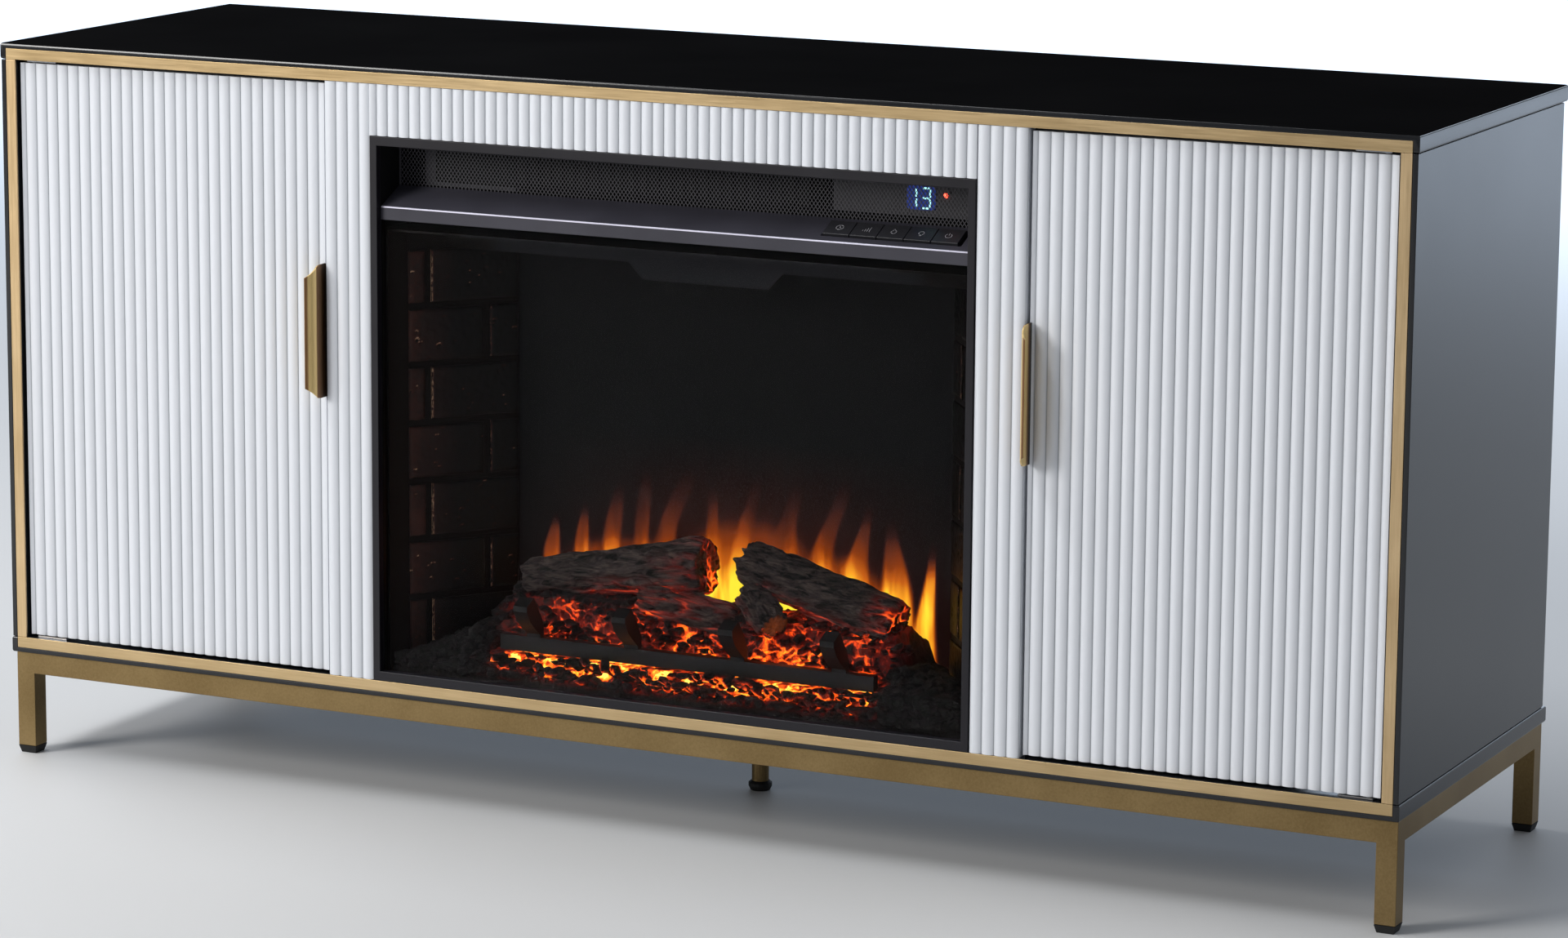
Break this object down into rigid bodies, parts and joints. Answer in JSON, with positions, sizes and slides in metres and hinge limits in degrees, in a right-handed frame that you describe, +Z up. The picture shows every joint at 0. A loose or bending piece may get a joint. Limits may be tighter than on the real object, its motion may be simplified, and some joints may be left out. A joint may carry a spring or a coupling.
{
  "type": "fireplace tv stand",
  "caption": "Low cabinet on a metal base, with fluted doors on pivots at both sides of an electric fireplace insert with push keys.",
  "frame": {"origin": "on the floor, under the middle of the whole stand, handles included", "axes": "+X to the right as seen from the front, +Y to the back, +Z up"},
  "size_m": [1.372, 0.422, 0.673],
  "materials": {
    "black_board": "satin black laminate on board",
    "inner_board": "matt black laminate on board",
    "gold_trim": "brushed champagne gold",
    "bronze_tube": "satin bronze gold paint on steel tube",
    "foot_rubber": "matt black rubber",
    "white_reed": "satin white over fluted board",
    "gold_handle": "brushed brass gold",
    "zinc_steel": "zinc plated steel",
    "black_plastic": "matt black",
    "grey_steel": "satin dark grey paint",
    "black_steel": "matt black paint",
    "key_plastic": "satin dark grey",
    "display_plastic": "smoked, lit from behind",
    "heater_fins": "bare fins",
    "brick_sheet": "matt dark brick pattern",
    "flame_acrylic": "smoked acrylic, lit by flames",
    "tinted_glass": "clear tempered, lightly smoked",
    "log_resin": "moulded bark and embers, lit from below",
    "circuit_board": "green solder mask"
  },
  "bodies": {
    "stand": {"top_panel": "black_board", "bottom_panel": "black_board", "left_side_panel": "black_board", "right_side_panel": "black_board", "left_divider": "inner_board", "right_divider": "inner_board", "left_shelf": "inner_board", "right_shelf": "inner_board", "back_panel": "inner_board", "top_trim": "gold_trim", "bottom_trim": "gold_trim", "left_trim": "gold_trim", "right_trim": "gold_trim", "base_frame": "bronze_tube", "centre_leg": "bronze_tube", "front_left_foot": "foot_rubber", "rear_left_foot": "foot_rubber", "front_right_foot": "foot_rubber", "rear_right_foot": "foot_rubber", "centre_foot": "foot_rubber", "left_fluted_stile": "white_reed", "right_fluted_stile": "white_reed", "fluted_header": "white_reed", "left_lower_pivot": "zinc_steel", "left_upper_pivot": "zinc_steel", "right_lower_pivot": "zinc_steel", "right_upper_pivot": "zinc_steel", "left_door_catch": "black_plastic", "right_door_catch": "black_plastic", "front_bezel": "grey_steel", "firebox_housing": "black_steel", "control_hood": "grey_steel", "outlet_grille": "black_steel", "display_module": "display_plastic", "blower_motor": "black_steel", "heater_element": "heater_fins", "firebox_liner": "brick_sheet", "flame_screen": "flame_acrylic", "front_glass": "tinted_glass", "log_set": "log_resin", "grate": "black_steel", "ember_light_board": "circuit_board", "spindle_motor": "black_steel"},
    "left_door_leaf": {"left_door": "white_reed", "left_handle": "gold_handle", "left_lower_socket": "zinc_steel", "left_upper_socket": "zinc_steel", "left_strike_plate": "zinc_steel"},
    "right_door_leaf": {"right_door": "white_reed", "right_handle": "gold_handle", "right_lower_socket": "zinc_steel", "right_upper_socket": "zinc_steel", "right_strike_plate": "zinc_steel"},
    "timer_button": {"timer_key": "key_plastic"},
    "heat_button": {"heat_key": "key_plastic"},
    "flame_button": {"flame_key": "key_plastic"},
    "light_button": {"light_key": "key_plastic"},
    "power_button": {"power_key": "key_plastic"},
    "blower": {"blower_wheel": "zinc_steel"},
    "flame_rotor": {"flame_spindle": "zinc_steel"}
  },
  "joints": [
    {"name": "left_door_swing", "type": "hinge", "parent": "stand", "child": "left_door_leaf", "pos_m": [-0.6555, -0.177, 0.3855], "axis": [0, 0, -1], "range_deg": [0, 105]},
    {"name": "right_door_swing", "type": "hinge", "parent": "stand", "child": "right_door_leaf", "pos_m": [0.6555, -0.177, 0.3855], "axis": [0, 0, 1], "range_deg": [0, 105]},
    {"name": "timer_key_press", "type": "slide", "parent": "stand", "child": "timer_button", "axis": [0, 0.4194, -0.9078], "range_m": [0, 0.001], "stiffness_N_per_m": 600, "springref_m": -0.0006},
    {"name": "heat_key_press", "type": "slide", "parent": "stand", "child": "heat_button", "axis": [0, 0.4194, -0.9078], "range_m": [0, 0.001], "stiffness_N_per_m": 600, "springref_m": -0.0006},
    {"name": "flame_key_press", "type": "slide", "parent": "stand", "child": "flame_button", "axis": [0, 0.4194, -0.9078], "range_m": [0, 0.001], "stiffness_N_per_m": 600, "springref_m": -0.0006},
    {"name": "light_key_press", "type": "slide", "parent": "stand", "child": "light_button", "axis": [0, 0.4194, -0.9078], "range_m": [0, 0.001], "stiffness_N_per_m": 600, "springref_m": -0.0006},
    {"name": "power_key_press", "type": "slide", "parent": "stand", "child": "power_button", "axis": [0, 0.4194, -0.9078], "range_m": [0, 0.001], "stiffness_N_per_m": 600, "springref_m": -0.0006},
    {"name": "blower_spin", "type": "hinge", "parent": "stand", "child": "blower", "pos_m": [-0.024, -0.105, 0.5838], "axis": [1, 0, 0], "continuous": true},
    {"name": "flame_spin", "type": "hinge", "parent": "stand", "child": "flame_rotor", "pos_m": [0, -0.023, 0.152], "axis": [1, 0, 0], "continuous": true}
  ]
}
